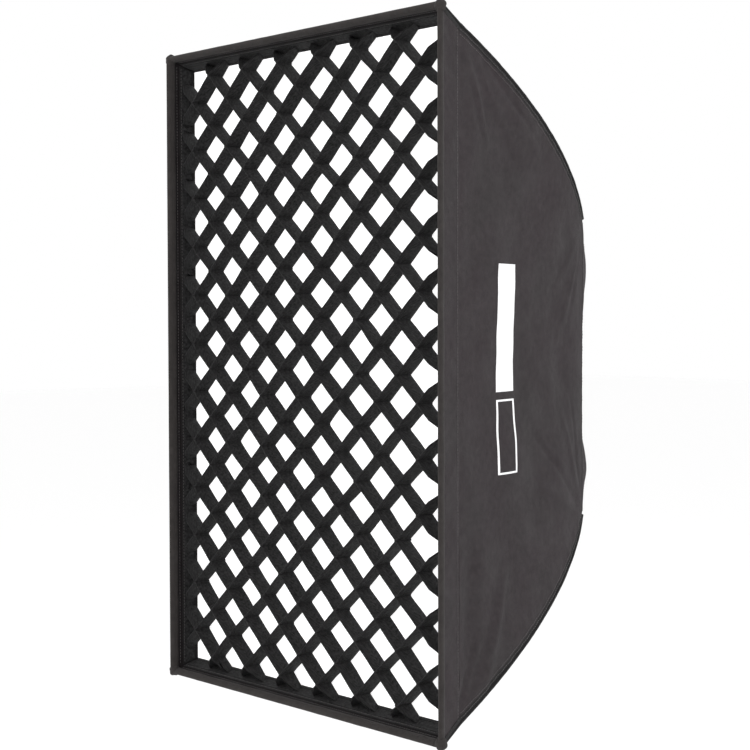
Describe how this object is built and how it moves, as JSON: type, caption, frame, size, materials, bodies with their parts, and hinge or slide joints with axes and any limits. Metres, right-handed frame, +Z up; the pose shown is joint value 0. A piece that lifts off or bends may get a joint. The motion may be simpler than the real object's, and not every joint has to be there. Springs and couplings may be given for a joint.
{
  "type": "strip softbox",
  "caption": "Rectangular fabric softbox with a deep curved shell, recessed front lip, diamond fabric grid, white diffusers and a turning bayonet mount for a studio light.",
  "frame": {"origin": "centre of the bayonet insert's bore, in the plane of the face that seats against the light", "axes": "+Y along the bore towards the light, so the front faces -Y; +Z up along the long side; +X right as seen from the front"},
  "size_m": [0.6024, 0.4912, 0.9024],
  "materials": {
    "aluminium": "satin",
    "white_nylon": "satin",
    "steel": "satin",
    "spring_steel": "satin",
    "black_plastic": "matte",
    "black_webbing": "matte",
    "shell_fabric": "matte",
    "silver_lining": "satin",
    "lip_fabric": "matte",
    "hook_and_loop": "matte",
    "grid_fabric": "matte",
    "diffuser_white": "matte"
  },
  "bodies": {
    "mount_insert": {"bayonet_insert": "aluminium"},
    "flap_right": {"flap_right": "shell_fabric"},
    "flap_left": {"flap_left": "shell_fabric"},
    "flap_upper": {"flap_upper": "shell_fabric"},
    "flap_lower": {"flap_lower": "shell_fabric"},
    "lock_screw": {"lock_stud": "steel", "lock_knob": "black_plastic"},
    "lock_pad": {"brake_pad": "white_nylon"},
    "inner_baffle": {"baffle_sheet": "diffuser_white", "baffle_hem": "diffuser_white", "baffle_straps": "black_webbing", "snap_caps": "steel"},
    "front_diffuser": {"diffuser_sheet": "diffuser_white", "diffuser_border": "hook_and_loop"},
    "grid": {"grid_lattice": "grid_fabric", "grid_border": "hook_and_loop"},
    "softbox": {"speedring_body": "aluminium", "slip_ring": "white_nylon", "retaining_ring": "aluminium", "retainer_screws": "steel", "rod_sockets": "steel", "socket_screws": "steel", "rod_top_right": "spring_steel", "rod_top_left": "spring_steel", "rod_bottom_right": "spring_steel", "rod_bottom_left": "spring_steel", "rod_tips": "black_plastic", "tip_pockets": "black_webbing", "rod_sleeves": "black_webbing", "panel_right": "shell_fabric", "panel_left": "shell_fabric", "panel_top": "shell_fabric", "panel_bottom": "shell_fabric", "lining_right": "silver_lining", "lining_left": "silver_lining", "lining_top": "silver_lining", "lining_bottom": "silver_lining", "seam_piping": "black_webbing", "lip_right": "shell_fabric", "lip_left": "shell_fabric", "lip_top": "shell_fabric", "lip_bottom": "shell_fabric", "front_hem": "lip_fabric", "hem_ears": "lip_fabric", "loop_bands": "hook_and_loop", "strap_tabs": "black_webbing", "snap_studs": "steel", "fold_welts": "black_webbing"}
  },
  "joints": [
    {"name": "box_turn", "type": "hinge", "parent": "mount_insert", "child": "softbox", "pos_m": [0, 0, 0], "axis": [0, 1, 0], "continuous": true},
    {"name": "flap_upper_hinge", "type": "hinge", "parent": "softbox", "child": "flap_upper", "pos_m": [0, -0.06643, 0.20907], "axis": [1, 0, 0], "range_deg": [0, 120]},
    {"name": "flap_lower_hinge", "type": "hinge", "parent": "softbox", "child": "flap_lower", "pos_m": [0, -0.06643, -0.20907], "axis": [-1, 0, 0], "range_deg": [0, 120]},
    {"name": "flap_right_hinge", "type": "hinge", "parent": "softbox", "child": "flap_right", "pos_m": [0.13597, -0.06643, 0], "axis": [0, 0, -1], "range_deg": [0, 120]},
    {"name": "flap_left_hinge", "type": "hinge", "parent": "softbox", "child": "flap_left", "pos_m": [-0.13597, -0.06643, 0], "axis": [0, 0, 1], "range_deg": [0, 120]},
    {"name": "lock_turn", "type": "hinge", "parent": "softbox", "child": "lock_screw", "pos_m": [0, -0.019, -0.09], "axis": [0, 0, -1], "range_deg": [0, 540]},
    {"name": "pad_slide", "type": "slide", "parent": "softbox", "child": "lock_pad", "axis": [0, 0, -1], "range_m": [0, 0.0013]},
    {"name": "baffle_pull", "type": "slide", "parent": "softbox", "child": "inner_baffle", "axis": [0, -1, 0], "range_m": [0, 0.3]},
    {"name": "diffuser_pull", "type": "slide", "parent": "inner_baffle", "child": "front_diffuser", "axis": [0, -1, 0], "range_m": [0, 0.12]},
    {"name": "grid_pull", "type": "slide", "parent": "front_diffuser", "child": "grid", "axis": [0, -1, 0], "range_m": [0, 0.08]}
  ],
  "couplings": [
    {"joint": "pad_slide", "follows": "lock_turn", "m_per_rad": 0.00012732}
  ]
}
